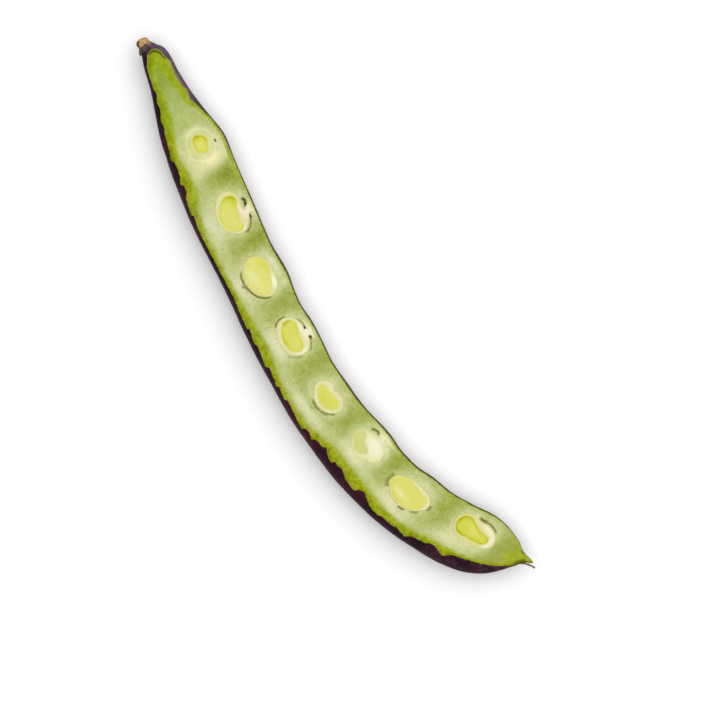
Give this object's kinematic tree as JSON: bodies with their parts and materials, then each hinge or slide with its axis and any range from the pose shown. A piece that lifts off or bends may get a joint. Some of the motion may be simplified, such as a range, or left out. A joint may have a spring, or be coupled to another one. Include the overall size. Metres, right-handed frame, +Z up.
{
  "type": "cut pole bean pod",
  "caption": "Purple pole bean pod sliced lengthwise, lying on its skin with pale green flesh, cut seeds, stem stub and dry tip showing.",
  "frame": {"origin": "middle of the bounding box, on the surface that the pod lies on", "axes": "+X from the cut stem to the tip, +Y towards the inside of the bend, where the seeds are attached, +Z up out of the cut face"},
  "size_m": [0.1514, 0.0276, 0.0085],
  "materials": {
    "pod": "dark purple velvety skin outside, moist pale green flesh with a bright green wall on the cut",
    "seed_coat": "moist cream",
    "cotyledon": "moist yellow green",
    "seed_stalk": "moist white tinged with pink",
    "cut_stem": "dry fibrous tan",
    "dry_calyx": "dry dark green brown",
    "dry_style": "dry tan"
  },
  "bodies": {
    "root": {"pod_half": "pod", "seed_coat_1": "seed_coat", "seed_coat_2": "seed_coat", "seed_coat_3": "seed_coat", "seed_coat_4": "seed_coat", "seed_coat_5": "seed_coat", "seed_coat_6": "seed_coat", "seed_coat_7": "seed_coat", "seed_coat_8": "seed_coat", "cotyledon_1": "cotyledon", "cotyledon_2": "cotyledon", "cotyledon_3": "cotyledon", "cotyledon_4": "cotyledon", "cotyledon_5": "cotyledon", "cotyledon_6": "cotyledon", "cotyledon_7": "cotyledon", "cotyledon_8": "cotyledon", "funicle_2": "seed_stalk", "funicle_4": "seed_stalk", "funicle_6": "seed_stalk", "funicle_8": "seed_stalk", "pedicel_stub": "cut_stem", "calyx_remnant": "dry_calyx", "style_tail": "dry_style"}
  },
  "joints": []
}
